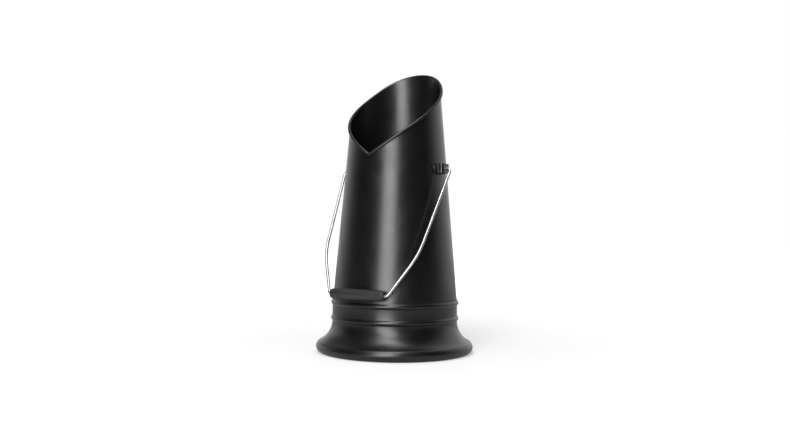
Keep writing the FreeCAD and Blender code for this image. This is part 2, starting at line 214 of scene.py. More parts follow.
def black_stove_paint():
    """Satin black stove paint, sprayed and baked on sheet steel: near black, with a soft wide gloss,
    a slight orange peel, the faint waves that rolled sheet shows in its reflections, and greyer,
    duller scuffs where the foot is dragged and where the mouth's roll is handled; along the roll's crown
    the lighter grey is also a painted highlight."""
    material, tree, place = new_material("satin_black_stove_paint")
    clouds = add_node(tree, "ShaderNodeTexNoise", {
        "Vector": place, "Scale": 1 / PAINT_CLOUDS, "Detail": 4.0,
    })
    tint = add_node(tree, "ShaderNodeMix", {
        "Factor": clouds.outputs["Fac"], "A": linear(PAINT_DARK), "B": linear(PAINT_LIGHT),
    }, data_type="RGBA")
    smudges = add_node(tree, "ShaderNodeTexNoise", {
        "Vector": place, "Scale": 1 / PAINT_SMUDGES, "Detail": 3.0, "Roughness": 0.5,
    })
    gloss = add_node(tree, "ShaderNodeMapRange", {
        "Value": smudges.outputs["Fac"],
        "From Min": 0.3, "From Max": 0.7, "To Min": 0.28, "To Max": 0.34,
    })
    # The mouth's roll and the foot carry an attribute that the scuffs break up. Where it is, the paint turns
    # lighter grey: wear on the foot, and on the roll's crown wear together with a painted highlight
    wear_and_highlight = add_node(tree, "ShaderNodeAttribute", {}, attribute_name="wear_and_highlight")
    scuffs = add_node(tree, "ShaderNodeTexNoise", {
        "Vector": place, "Scale": 1 / PAINT_SCUFFS, "Detail": 4.0, "Roughness": 0.65,
    })
    patchy = add_node(tree, "ShaderNodeMapRange", {
        "Value": scuffs.outputs["Fac"], "From Min": 0.42, "From Max": 0.66,
    })
    wear_and_highlight_mask = add_node(tree, "ShaderNodeMath", {
        0: wear_and_highlight.outputs["Fac"], 1: patchy.outputs["Result"],
    }, operation="MULTIPLY")
    wear_and_highlight_tint = add_node(tree, "ShaderNodeMix", {
        "Factor": wear_and_highlight_mask.outputs["Value"], "A": tint.outputs["Result"], "B": linear(PAINT_WEAR_AND_HIGHLIGHT),
    }, data_type="RGBA")
    rubbed_gloss = add_node(tree, "ShaderNodeMath", {
        0: wear_and_highlight_mask.outputs["Value"], 1: RUBBED_ROUGHNESS, 2: gloss.outputs["Result"],
    }, operation="MULTIPLY_ADD")
    # The real peel is about 1 mm across, and is drawn at 4 mm so that it shows
    peel = add_node(tree, "ShaderNodeTexNoise", {
        "Vector": place, "Scale": 1 / PAINT_PEEL, "Detail": 2.0,
    })
    waves = add_node(tree, "ShaderNodeTexNoise", {
        "Vector": place, "Scale": 1 / SHEET_WAVES, "Detail": 1.0,
    })
    wavy = add_node(tree, "ShaderNodeBump", {
        "Height": waves.outputs["Fac"], "Strength": 0.35, "Distance": 2.0 * mm,
    })
    rough = add_node(tree, "ShaderNodeBump", {
        "Height": peel.outputs["Fac"], "Strength": 0.35, "Distance": 0.25 * mm,
        "Normal": wavy.outputs["Normal"],
    })
    paint = add_node(tree, "ShaderNodeBsdfPrincipled", {
        "Base Color": wear_and_highlight_tint.outputs["Result"],
        "Roughness": rubbed_gloss.outputs["Value"],
        "Normal": rough.outputs["Normal"],
        "IOR": 1.5,
    })
    add_node(tree, "ShaderNodeOutputMaterial", {"Surface": paint.outputs["BSDF"]})
    return material


paint = black_stove_paint()

# The sheet's inside face, drawn as a plain upright tube with a level mouth
bm = bmesh.new()
inside = collar_radius - SHEET
last = bm.verts.new(at_front(inside, body_low.z))
last = draw_swage(bm, last, inside, lower_bead_z)
last = draw_swage(bm, last, inside, upper_bead_z)
last = draw_line(bm, last, at_front(inside, collar_top_z - SHEET))
last = draw_line(bm, last, at_front(inside, collar_top_z + SHEET))
last = draw_line(bm, last, at_front(inside, mouth_front_z))
wall = last.link_edges[0]
roll_axis = inside + ROLL_RADIUS
roll_end = math.pi - math.acos((roll_axis - collar_radius) / ROLL_RADIUS)
roll_turn = roll_end + ROLL_EDGE_TURN - math.tau
draw_arc(bm, last, at_front(roll_axis, mouth_front_z), roll_turn, ROLL_STEPS)
bmesh.ops.subdivide_edges(bm, edges=[wall], cuts=WALL_CUTS)
turn_full(bm, (0, 0, 1), COLUMNS)

# The roll's two ends stop just short of each other at the back
roll_back = {}
for face in bm.faces:
    middle = face.calc_center_median()
    at_back = middle.y > roll_axis and abs(middle.x) < 2 * ROLL_END_GAP
    if at_back and abs(middle.z - mouth_front_z) < ROLL_RADIUS:
        roll_back.update(dict.fromkeys([face, *face.edges, *face.verts]))
for side in (1, -1):
    cut_at = (side * ROLL_END_GAP / 2, 0, 0)
    made = bmesh.ops.bisect_plane(bm, geom=list(roll_back), plane_co=cut_at, plane_no=(1, 0, 0))
    roll_back = dict.fromkeys(made["geom"])
faces = new_parts(roll_back, bmesh.types.BMFace)
gap = [face for face in faces if abs(face.calc_center_median().x) < ROLL_END_GAP / 2]
gap = [face for face in gap if face.calc_center_median().z < mouth_front_z]
bmesh.ops.delete(bm, geom=gap, context="FACES")

# The tube is drawn out to its slanting mouth and narrowed to its taper; the roll keeps its round section,
# and its crown is marked for the lighter grey that stands for wear and paints a highlight there
wear_and_highlight = bm.verts.layers.float.new("wear_and_highlight")
level_rise = mouth_front_z - collar_top_z
for vert in bm.verts:
    above = vert.co.z - collar_top_z
    if above > 0:
        turn_deg = math.degrees(abs(math.atan2(vert.co.x, -vert.co.y)))
        offset = vert.co.xy.length - collar_radius
        rise = mouth_z(turn_deg) - collar_top_z
        in_roll = above - level_rise
        if in_roll > -ROLL_ZONE:
            z = collar_top_z + rise + in_roll * math.hypot(1, mouth_slope(turn_deg))
            vert[wear_and_highlight] = max(in_roll / ROLL_RADIUS, 0)
        else:
            z = collar_top_z + above * rise / level_rise
        vert.co.xy = vert.co.xy.normalized() * cone_radius(z, offset)
        vert.co.z = z
bmesh.ops.solidify(bm, geom=bm.faces[:], thickness=SHEET)
body = finish_piece(bm, "body_shell_sheet", paint)
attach(body, "hod")
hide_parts("body_shell")

# Lock seam: where the rolled sheet's two edges are folded together and dressed flat up the back, from the
# collar to under the mouth's roll. Same steel and paint.

SEAM_WIDTH = 8.0 * mm
SEAM_RISE = 1.2 * mm
SEAM_SINK = 0.5 * mm
SEAM_FOLD = 0.9 * mm
SEAM_FOLD_STEPS = 4
SEAM_CUTS = 12

seam_low_z = collar_top_z + COLLAR_REVEAL
seam_high_z = mouth_back_z - ROLL_RADIUS + SHEET


def upright_edges(bm):
    """The edges that run from end to end of a strip drawn one unit high."""
    return [edge for edge in bm.edges if abs(edge.verts[0].co.z - edge.verts[1].co.z) > 0.5]


bm = bmesh.new()
bmesh.ops.create_cube(bm, size=1.0)
bmesh.ops.scale(bm, verts=bm.verts[:], vec=(SEAM_WIDTH, SEAM_RISE + SEAM_SINK, 1.0))
bmesh.ops.translate(bm, verts=bm.verts[:], vec=(0, (SEAM_RISE - SEAM_SINK) / 2, 0))
folds = [edge for edge in upright_edges(bm) if edge.verts[0].co.y > 0]
bmesh.ops.bevel(bm, geom=folds, offset=SEAM_FOLD, segments=SEAM_FOLD_STEPS, profile=0.5,
                affect="EDGES", material=-1)
bmesh.ops.subdivide_edges(bm, edges=upright_edges(bm), cuts=SEAM_CUTS)
for vert in bm.verts:
    vert.co.z = seam_low_z + (vert.co.z + 0.5) * (seam_high_z - seam_low_z)
    vert.co.y += cone_radius(vert.co.z, 0)
seam = finish_piece(bm, "lock_seam", paint)
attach(seam, "hod")

# Mouth wire: 3 mm drawn steel wire that stiffens the mouth, closed up in its rolled edge. Only its ends'
# butt can be glimpsed, where the roll stops short at the back.

STEEL_DARK = "#8f8f8d"
STEEL_LIGHT = "#b4b4b2"
STEEL_TARNISH = 6 * mm


def drawn_steel():
    """Plain drawn steel wire: a grey metal with a dull lengthwise sheen and a touch of tarnish."""
    material, tree, place = new_material("drawn_steel_wire")
    tarnish = add_node(tree, "ShaderNodeTexNoise", {
        "Vector": place, "Scale": 1 / STEEL_TARNISH, "Detail": 4.0,
    })
    tint = add_node(tree, "ShaderNodeMix", {
        "Factor": tarnish.outputs["Fac"], "A": linear(STEEL_DARK), "B": linear(STEEL_LIGHT),
    }, data_type="RGBA")
    gloss = add_node(tree, "ShaderNodeMapRange", {
        "Value": tarnish.outputs["Fac"], "To Min": 0.3, "To Max": 0.55,
    })
    metal = add_node(tree, "ShaderNodeBsdfPrincipled", {
        "Base Color": tint.outputs["Result"], "Roughness": gloss.outputs["Result"], "Metallic": 1.0,
    })
    add_node(tree, "ShaderNodeOutputMaterial", {"Surface": metal.outputs["BSDF"]})
    return material


frame["nodes"]["mouth_rim_wire"].data.materials.clear()
frame["nodes"]["mouth_rim_wire"].data.materials.append(drawn_steel())

# Base skirt: a ring of sheet steel spun over the collar's swages, then out in a trumpet flare to a foot
# that is rolled under. Same paint.

FOOT_ROLL = 10.5 * mm
FOOT_LAND = 6.0 * mm
FLARE_TURN = math.radians(63.7)
FOOT_STEPS = 20
FLARE_STEPS = 24

foot_axis = skirt_high.x - FOOT_ROLL
flare_radius = (skirt_high.x - skirt_radius) / (1 - math.cos(FLARE_TURN)) - FOOT_ROLL
flare_top_z = FOOT_ROLL + (flare_radius + FOOT_ROLL) * math.sin(FLARE_TURN)

bm = bmesh.new()
last = bm.verts.new(at_front(foot_axis - FOOT_LAND, 0))
last = draw_line(bm, last, at_front(foot_axis, 0))
last = draw_arc(bm, last, at_front(foot_axis, FOOT_ROLL), FLARE_TURN + math.pi / 2, FOOT_STEPS)
last = draw_arc(bm, last, at_front(skirt_radius + flare_radius, flare_top_z), -FLARE_TURN, FLARE_STEPS)
last = draw_swage(bm, last, skirt_radius, lower_bead_z)
last = draw_swage(bm, last, skirt_radius, upper_bead_z)
draw_line(bm, last, at_front(skirt_radius, skirt_high.z))
turn_full(bm, (0, 0, 1), COLUMNS)

# The foot is rubbed towards the ground
wear_and_highlight = bm.verts.layers.float.new("wear_and_highlight")
for vert in bm.verts:
    vert[wear_and_highlight] = max(1 - vert.co.z / FOOT_ROLL, 0)
bmesh.ops.solidify(bm, geom=bm.faces[:], thickness=SHEET)
skirt = finish_piece(bm, "base_skirt_ring", paint)
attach(skirt, "hod")
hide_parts("base_skirt")

# Floor pan: a pressed disc with a stiffening ring and a turned-down flange, pushed up into the collar from
# below. Same sheet and paint.

PAN_CORNER = 4.0 * mm
PAN_CORNER_STEPS = 8
PAN_RING_RADIUS = 62.0 * mm
PAN_RING_WIDTH = 12.0 * mm
PAN_RING_RISE = 2.5 * mm
PAN_RING_FILLET = 3.0 * mm

pan_low, pan_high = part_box("floor_pan")
pan_top_z = pan_high.z - PAN_RING_RISE
pan_ring = (PAN_RING_WIDTH ** 2 / 4 + PAN_RING_RISE ** 2) / (2 * PAN_RING_RISE)
ring_reach = pan_ring + PAN_RING_FILLET
ring_turn = math.acos((ring_reach - PAN_RING_RISE) / ring_reach)
ring_run = ring_reach * math.sin(ring_turn)

bm = bmesh.new()
last = bm.verts.new(at_front(0, pan_top_z))
for radius in (PAN_RING_RADIUS / 3, 2 * PAN_RING_RADIUS / 3, PAN_RING_RADIUS - ring_run):
    last = draw_line(bm, last, at_front(radius, pan_top_z))
fillet_z = pan_top_z + PAN_RING_FILLET
last = draw_arc(bm, last, at_front(PAN_RING_RADIUS - ring_run, fillet_z), ring_turn, FILLET_STEPS)
last = draw_arc(bm, last, at_front(PAN_RING_RADIUS, pan_high.z - pan_ring), -2 * ring_turn, CROWN_STEPS)
last = draw_arc(bm, last, at_front(PAN_RING_RADIUS + ring_run, fillet_z), ring_turn, FILLET_STEPS)
corner_radius = pan_high.x - PAN_CORNER
last = draw_line(bm, last, at_front(corner_radius, pan_top_z))
corner_centre = at_front(corner_radius, pan_top_z - PAN_CORNER)
last = draw_arc(bm, last, corner_centre, -math.pi / 2, PAN_CORNER_STEPS)
draw_line(bm, last, at_front(pan_high.x, pan_low.z))
turn_full(bm, (0, 0, 1), COLUMNS // 2)
if sum(face.normal.z for face in bm.faces) < 0:
    bmesh.ops.reverse_faces(bm, faces=bm.faces[:])
bmesh.ops.solidify(bm, geom=bm.faces[:], thickness=SHEET)
pan = finish_piece(bm, "floor_pan_pressing", paint)
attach(pan, "hod")
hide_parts("floor_pan")

# Ears: 2 mm steel straps bent into bridges that stand off the body's sides, pierced for the bail's pins.
# Their feet are dressed to the curve of the body and riveted down. Painted with the body.

EAR_SHEET = 2.0 * mm
EAR_HALF_HEIGHT = 8.0 * mm
EAR_BRIDGE_HALF = 13.0 * mm
EAR_FOOT = 12.0 * mm
EAR_BEND = 4.5 * mm
EAR_FOOT_BEND = 1.5 * mm
EAR_CORNER = 3.3 * mm
EAR_EDGE = 0.35 * mm
EAR_EDGE_STEPS = 2
EAR_EDGE_ANGLE = math.radians(40)
EAR_BEND_STEPS = 6
EAR_FOOT_STEPS = 4
EAR_CORNER_STEPS = 5
PIN_HOLE_SIDES = 24
PIN_RADIUS = 2.5 * mm
PIN_PLAY = 0.1 * mm

pivot = Vector(frame["joints"][0]["pos_m"])
ear_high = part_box("right_ear")[1]
side_radius = cone_radius(pivot.z, 0)
foot_face = side_radius + (FIT_GAP + EAR_SHEET) / math.cos(TAPER)
bend_axis = foot_face + EAR_FOOT_BEND
foot_start = math.asin((EAR_BRIDGE_HALF + EAR_FOOT_BEND) / bend_axis)
foot_turn = math.asin((EAR_BRIDGE_HALF + EAR_FOOT) / foot_face) - foot_start


def run_on(bm, edges, move):
    """Runs an open edge of a strap, or a wire's ring, on in a straight line."""
    made = bmesh.ops.extrude_edge_only(bm, edges=edges)["geom"]
    verts = new_parts(made, bmesh.types.BMVert)
    bmesh.ops.translate(bm, verts=verts, vec=move)
    ends = set(verts)
    return [edge for edge in new_parts(made, bmesh.types.BMEdge) if ends.issuperset(edge.verts)]


def bend_on(bm, edges, centre, axis, turn, steps):
    """Runs an open edge of a strap, or a wire's ring, on round a bend."""
    made = bmesh.ops.spin(bm, geom=edges, cent=centre, axis=axis, angle=turn, steps=steps)
    return new_parts(made["geom_last"], bmesh.types.BMEdge)


def lean_in(vert):
    """Moves a vertex of an ear's foot in with the body's taper, by its height above the pivot."""
    vert.co.xy -= vert.co.xy.normalized() * vert.co.z * math.tan(TAPER)


def bent_ear(mirror):
    """An ear's strap, from the square round its pin hole out to both feet."""
    bm = bmesh.new()
    bmesh.ops.create_circle(bm, segments=PIN_HOLE_SIDES, radius=1.0)
    hole = bm.edges[:]
    made = bmesh.ops.extrude_edge_only(bm, edges=hole)["geom"]
    square = set(new_parts(made, bmesh.types.BMVert))
    flat_half = EAR_BRIDGE_HALF - EAR_BEND
    for vert in bm.verts:
        across, up = vert.co.xy
        if vert in square:
            reach = max(abs(across), abs(up))
            across, up = across / reach * flat_half, up / reach * EAR_HALF_HEIGHT
        else:
            across, up = across * (PIN_RADIUS + PIN_PLAY), up * (PIN_RADIUS + PIN_PLAY)
        vert.co = (ear_high.x, across, up)
    feet = set()
    bend_x = ear_high.x - EAR_BEND
    for side in (1, -1):
        edge = [e for e in bm.edges if all(side * v.co.y > flat_half - MERGE_DISTANCE for v in e.verts)]
        edge = bend_on(bm, edge, (bend_x, side * flat_half, 0), (0, 0, side), math.pi / 2, EAR_BEND_STEPS)
        centre = Vector((bend_axis * math.cos(foot_start), side * bend_axis * math.sin(foot_start), 0))
        before = set(bm.verts)
        edge = run_on(bm, edge, (centre.x - bend_x, 0, 0))
        edge = bend_on(bm, edge, centre, (0, 0, -side), math.pi / 2 - foot_start, EAR_BEND_STEPS)
        edge = bend_on(bm, edge, (0, 0, 0), (0, 0, side), foot_turn, EAR_FOOT_STEPS)
        feet |= set(bm.verts) - before
        ends = sorted({v for e in edge for v in e.verts}, key=lambda v: v.co.z)
        corners = [ends[0], ends[-1]]
        feet -= set(corners)
        for vert in corners:
            lean_in(vert)
        bmesh.ops.bevel(bm, geom=corners, offset=EAR_CORNER, segments=EAR_CORNER_STEPS, profile=0.5,
                        affect="VERTICES", material=-1)
    for vert in feet:
        if vert.is_valid:
            lean_in(vert)
    bmesh.ops.recalc_face_normals(bm, faces=bm.faces[:])
    middle = min(bm.faces, key=lambda face: abs(face.calc_center_median().y))
    if middle.normal.x < 0:
        bmesh.ops.reverse_faces(bm, faces=bm.faces[:])
    bmesh.ops.solidify(bm, geom=bm.faces[:], thickness=EAR_SHEET)
    bmesh.ops.translate(bm, verts=bm.verts[:], vec=(0, 0, pivot.z))
    if mirror:
        bmesh.ops.scale(bm, verts=bm.verts[:], vec=(-1, 1, 1))
        bmesh.ops.reverse_faces(bm, faces=bm.faces[:])
    return bm


for name, mirror in (("right_ear", False), ("left_ear", True)):
    ear = finish_piece(bent_ear(mirror), name + "_strap", paint)
    edges = ear.modifiers.new("eased_edges", "BEVEL")
    edges.width = EAR_EDGE
    edges.segments = EAR_EDGE_STEPS
    edges.limit_method = "ANGLE"
    edges.angle_limit = EAR_EDGE_ANGLE
    edges.harden_normals = True
    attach(ear, "hod")
    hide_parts(name)

# Ear rivets: domed steel rivets, two to an ear, put in from outside through foot and body and spread
# inside. They are painted over with the rest.

RIVET_SHANK = 2.0 * mm
RIVET_HEAD = 4.0 * mm
RIVET_HEAD_RISE = 2.2 * mm
RIVET_TAIL = 3.2 * mm
RIVET_TAIL_RISE = 1.6 * mm
RIVET_EDGE = 0.5 * mm
RIVET_SIDES = 32
DOME_STEPS = 8
RIVET_EDGE_STEPS = 4

head_seat = FIT_GAP + EAR_SHEET + FIT_GAP
tail_seat = -SHEET - FIT_GAP
dome = (RIVET_HEAD ** 2 + RIVET_HEAD_RISE ** 2) / (2 * RIVET_HEAD_RISE)
dome_turn = math.asin(RIVET_HEAD / dome)
dome_top = head_seat + RIVET_HEAD_RISE
tail_end = tail_seat - RIVET_TAIL_RISE
rivet_turn = math.asin((EAR_BRIDGE_HALF + EAR_FOOT / 2) / side_radius)


def rivet_pair(side):
    """Two rivets turned about the X axis, then stood square on the body beside the pivot."""
    bm = bmesh.new()
    for turn in (-rivet_turn, rivet_turn):
        one = bmesh.new()
        last = one.verts.new((dome_top, 0, 0))
        last = draw_arc(one, last, (dome_top - dome, 0, 0), dome_turn, DOME_STEPS, (0, 0, 1))
        for x, radius in ((head_seat, RIVET_SHANK), (tail_seat, RIVET_SHANK), (tail_seat, RIVET_TAIL)):
            last = draw_line(one, last, (x, radius, 0))
        last = draw_line(one, last, (tail_end + RIVET_EDGE, RIVET_TAIL, 0))
        edge_centre = (tail_end + RIVET_EDGE, RIVET_TAIL - RIVET_EDGE, 0)
        last = draw_arc(one, last, edge_centre, math.pi / 2, RIVET_EDGE_STEPS, (0, 0, 1))
        draw_line(one, last, (tail_end, 0, 0))
        turn_full(one, (1, 0, 0), RIVET_SIDES)
        stand = Matrix.Rotation(turn, 4, "Z") @ Matrix.Translation((side_radius, 0, pivot.z))
        bmesh.ops.transform(one, matrix=stand @ Matrix.Rotation(-TAPER, 4, "Y"), verts=one.verts[:])
        if side < 0:
            bmesh.ops.scale(one, verts=one.verts[:], vec=(-1, 1, 1))
            bmesh.ops.reverse_faces(one, faces=one.faces[:])
        rivet_mesh = bpy.data.meshes.new("rivet")
        one.to_mesh(rivet_mesh)
        one.free()
        bm.from_mesh(rivet_mesh)
        bpy.data.meshes.remove(rivet_mesh)
    return bm


for name, side in (("right_ear_rivets", 1), ("left_ear_rivets", -1)):
    rivets = finish_piece(rivet_pair(side), name + "_domes", paint)
    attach(rivets, "hod")
    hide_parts(name)

# Bail: one length of 5 mm steel wire, bright zinc plated, bent to a shouldered hoop. Its ends turn in to
# make pins in the ears and are upset into heads behind them.

BAIL_RADIUS = 2.5 * mm
BAIL_EAR_GAP = 1.6 * mm
BAIL_SHOULDER_BEND = 8.0 * mm
BAIL_KNEE_INSET = 16.0 * mm
BAIL_KNEE_DROP = 170.0 * mm
BAIL_KNEE_BEND = 150.0 * mm
BAIL_CORNER_BEND = 7.0 * mm
BAIL_HEAD = 4.5 * mm
BAIL_HEAD_LENGTH = 2.2 * mm
BAIL_HEAD_EDGE = 0.6 * mm
WIRE_SIDES = 24
CORNER_STEPS = 10
KNEE_STEPS = 16
SHOULDER_STEPS = 12
ZINC_DARK = "#a9adaf"
ZINC_LIGHT = "#cccfd0"
ZINC_PATCHES = 14 * mm
DRAWN_LINE_WIDTH = 0.6 * mm
DRAWN_LINE_LENGTH = 30 * mm
GRIP_HALF = 53.0 * mm
GRIP_END_PLAY = 0.4 * mm
REST_GAP = 0.4 * mm

grip_centre = Vector(frame["joints"][1]["pos_m"])
bail_reach = (grip_centre - pivot).length
bail_tilt = math.atan2(pivot.y - grip_centre.y, pivot.z - grip_centre.z)
ear_inside_x = ear_high.x - EAR_SHEET
shoulder_x = ear_high.x + BAIL_EAR_GAP + BAIL_SHOULDER_BEND
knee_x = shoulder_x - BAIL_KNEE_INSET
straight = GRIP_HALF + GRIP_END_PLAY
leg_out = knee_x - straight
leg_up = bail_reach - BAIL_CORNER_BEND - BAIL_KNEE_DROP
corner_turn = math.atan2(leg_up, leg_out) + math.asin(BAIL_CORNER_BEND / math.hypot(leg_out, leg_up))


def zinc_plated_wire():
    """Bright zinc plating over drawn wire: a pale blue-grey metal, bright along its length, with fine
    drawing lines down the legs and slightly duller patches."""
    material, tree, place = new_material("bright_zinc_plated_wire")
    # Drawing lines are hair fine, and are drawn 0.6 mm wide and 30 mm long so that they show
    lean = add_node(tree, "ShaderNodeMapping", {
        "Vector": place,
        "Rotation": (bail_tilt, 0, 0),
        "Scale": (1 / DRAWN_LINE_WIDTH, 1 / DRAWN_LINE_WIDTH, 1 / DRAWN_LINE_LENGTH),
    })
    lines = add_node(tree, "ShaderNodeTexNoise", {
        "Vector": lean.outputs["Vector"], "Scale": 1.0, "Detail": 2.0,
    })
    patches = add_node(tree, "ShaderNodeTexNoise", {
        "Vector": place, "Scale": 1 / ZINC_PATCHES, "Detail": 3.0,
    })
    tint = add_node(tree, "ShaderNodeMix", {
        "Factor": patches.outputs["Fac"], "A": linear(ZINC_DARK), "B": linear(ZINC_LIGHT),
    }, data_type="RGBA")
    gloss = add_node(tree, "ShaderNodeMapRange", {
        "Value": patches.outputs["Fac"],
        "From Min": 0.3, "From Max": 0.7, "To Min": 0.32, "To Max": 0.42,
    })
    drawn = add_node(tree, "ShaderNodeBump", {
        "Height": lines.outputs["Fac"], "Strength": 0.15, "Distance": 0.1 * mm,
    })
    metal = add_node(tree, "ShaderNodeBsdfPrincipled", {
        "Base Color": tint.outputs["Result"], "Roughness": gloss.outputs["Result"],
        "Normal": drawn.outputs["Normal"], "Metallic": 1.0,
    })
    add_node(tree, "ShaderNodeOutputMaterial", {"Surface": metal.outputs["BSDF"]})
    return material


# The right half is run from the grip's middle out to the pin's head, upright under the pivot
bm = bmesh.new()
ring_place = Matrix.Translation((0, 0, -bail_reach)) @ Matrix.Rotation(math.pi / 2, 4, "Y")
bmesh.ops.create_circle(bm, segments=WIRE_SIDES, radius=BAIL_RADIUS, matrix=ring_place)
ring = bm.edges[:]
corner_x = straight + BAIL_CORNER_BEND * math.tan(corner_turn / 2)
corners = [
    (Vector((corner_x, 0, -bail_reach)), BAIL_CORNER_BEND, CORNER_STEPS),
    (Vector((knee_x, 0, -BAIL_KNEE_DROP)), BAIL_KNEE_BEND, KNEE_STEPS),
    (Vector((shoulder_x, 0, 0)), BAIL_SHOULDER_BEND, SHOULDER_STEPS),
]
at = Vector((0, 0, -bail_reach))
pin_seat = Vector((ear_inside_x - REST_GAP, 0, 0))
goals = [corner for corner, bend, steps in corners[1:]] + [pin_seat]
for (corner, bend, steps), goal in zip(corners, goals):
    arriving = (corner - at).normalized()
    leaving = (goal - corner).normalized()
    turn = arriving.angle(leaving)
    axis = arriving.cross(leaving).normalized()
    setback = bend * math.tan(turn / 2)
    start = corner - arriving * setback
    ring = run_on(bm, ring, start - at)
    ring = bend_on(bm, ring, start + axis.cross(arriving) * bend, axis, turn, steps)
    at = corner + leaving * setback
ring = run_on(bm, ring, pin_seat - at)

# The pin's end is upset into a round-edged head, and the other half is mirrored from this one
for radius, step in (
    (BAIL_HEAD - BAIL_HEAD_EDGE, 0),
    (BAIL_HEAD, BAIL_HEAD_EDGE),
    (BAIL_HEAD, BAIL_HEAD_LENGTH - 2 * BAIL_HEAD_EDGE),
    (BAIL_HEAD - BAIL_HEAD_EDGE, BAIL_HEAD_EDGE),
):
    ring = run_on(bm, ring, (-step, 0, 0))
    for vert in {vert for edge in ring for vert in edge.verts}:
        vert.co.yz = vert.co.yz.normalized() * radius
bmesh.ops.contextual_create(bm, geom=ring)
half = bm.verts[:] + bm.edges[:] + bm.faces[:]
bmesh.ops.mirror(bm, geom=half, axis="X", merge_dist=2 * MERGE_DISTANCE)
bmesh.ops.remove_doubles(bm, verts=bm.verts[:], dist=MERGE_DISTANCE)
bmesh.ops.recalc_face_normals(bm, faces=bm.faces[:])
hang = Matrix.Translation(pivot) @ Matrix.Rotation(-bail_tilt, 4, "X")
bmesh.ops.transform(bm, matrix=hang, verts=bm.verts[:])
bail = finish_piece(bm, "bail_hoop", zinc_plated_wire())
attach(bail, "bail")
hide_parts("bail_wire")

# Grip: a hardwood barrel turned between centres, bored for the wire, countersunk at its ends and stained
# black under a thin satin lacquer. It spins freely on the bail.

GRIP_MIDDLE = 10.0 * mm
GRIP_END = 8.5 * mm
GRIP_EDGE = 2.5 * mm
GRIP_MOUTH = 4.5 * mm
GRIP_MOUTH_DEPTH = 2.0 * mm
GRIP_PLAY = 0.1 * mm
GRIP_BORE = BAIL_RADIUS + GRIP_PLAY
GRIP_SIDES = 64
GRIP_EDGE_STEPS = 8
GRIP_BARREL_STEPS = 28
WOOD_DARK = "#121212"
WOOD_LIGHT = "#2a2a2a"
GRAIN_WIDTH = 1.2 * mm
GRAIN_LENGTH = 25 * mm
TOOL_RINGS = 1.6 * mm
WAVE_RADIANS = 20


def black_stained_wood():
    """Black stained hardwood off the lathe: a neutral black with faint grain along the grip and fine
    rings left by the turning tool under the lacquer."""
    material, tree, place = new_material("black_stained_turned_wood")
    centred = add_node(tree, "ShaderNodeMapping", {"Vector": place, "Location": -grip_centre})
    long_grain = add_node(tree, "ShaderNodeMapping", {
        "Vector": centred.outputs["Vector"],
        "Scale": (1 / GRAIN_LENGTH, 1 / GRAIN_WIDTH, 1 / GRAIN_WIDTH),
    })
    grain = add_node(tree, "ShaderNodeTexNoise", {
        "Vector": long_grain.outputs["Vector"], "Scale": 1.0, "Detail": 5.0, "Roughness": 0.6,
    })
    tint = add_node(tree, "ShaderNodeMix", {
        "Factor": grain.outputs["Fac"], "A": linear(WOOD_DARK), "B": linear(WOOD_LIGHT),
    }, data_type="RGBA")
    gloss = add_node(tree, "ShaderNodeMapRange", {
        "Value": grain.outputs["Fac"], "From Min": 0.3, "From Max": 0.7, "To Min": 0.36, "To Max": 0.5,
    })
    # Tool rings are about 0.3 mm apart, and are drawn 1.6 mm apart so that they show; the texture has
    # 20 radians to a unit
    rings = add_node(tree, "ShaderNodeTexWave", {
        "Vector": centred.outputs["Vector"],
        "Scale": math.tau / (WAVE_RADIANS * TOOL_RINGS),
        "Distortion": 0.6,
        "Detail": 2.0,
    }, bands_direction="X")
    turned = add_node(tree, "ShaderNodeBump", {
        "Height": rings.outputs["Fac"], "Strength": 0.1, "Distance": 0.15 * mm,
    })
    pores = add_node(tree, "ShaderNodeBump", {
        "Height": grain.outputs["Fac"], "Strength": 0.25, "Distance": 0.2 * mm,
        "Normal": turned.outputs["Normal"],
    })
    wood = add_node(tree, "ShaderNodeBsdfPrincipled", {
        "Base Color": tint.outputs["Result"], "Roughness": gloss.outputs["Result"],
        "Normal": pores.outputs["Normal"], "IOR": 1.5,
    })
    add_node(tree, "ShaderNodeOutputMaterial", {"Surface": wood.outputs["BSDF"]})
    return material


bm = bmesh.new()
edge_x = GRIP_HALF - GRIP_EDGE
barrel = (edge_x ** 2 + (GRIP_MIDDLE - GRIP_END) ** 2) / (2 * (GRIP_MIDDLE - GRIP_END))
barrel_turn = math.asin(edge_x / barrel)
first = bm.verts.new((GRIP_HALF - GRIP_MOUTH_DEPTH, GRIP_BORE, 0))
last = draw_line(bm, first, (GRIP_HALF, GRIP_MOUTH, 0))
last = draw_line(bm, last, (GRIP_HALF, GRIP_END - GRIP_EDGE, 0))
edge_centre = Vector((edge_x, GRIP_END - GRIP_EDGE, 0))
last = draw_arc(bm, last, edge_centre, math.pi / 2, GRIP_EDGE_STEPS, (0, 0, 1))
last = draw_arc(bm, last, (0, GRIP_MIDDLE - barrel, 0), 2 * barrel_turn, GRIP_BARREL_STEPS, (0, 0, 1))
edge_centre.x = -edge_x
last = draw_arc(bm, last, edge_centre, math.pi / 2, GRIP_EDGE_STEPS, (0, 0, 1))
last = draw_line(bm, last, (-GRIP_HALF, GRIP_MOUTH, 0))
last = draw_line(bm, last, (GRIP_MOUTH_DEPTH - GRIP_HALF, GRIP_BORE, 0))
bmesh.ops.contextual_create(bm, geom=[last, first])
turn_full(bm, (1, 0, 0), GRIP_SIDES)
bmesh.ops.translate(bm, verts=bm.verts[:], vec=grip_centre)
grip = finish_piece(bm, "bail_grip_barrel", black_stained_wood())
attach(grip, "grip")
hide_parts("bail_grip")

# Floor: the matt pale paper that the hod stands on, laid on a table with its front edge towards the camera.
# It shows white to the camera, but less so near the hod, where it keeps the soft shadow under the foot.

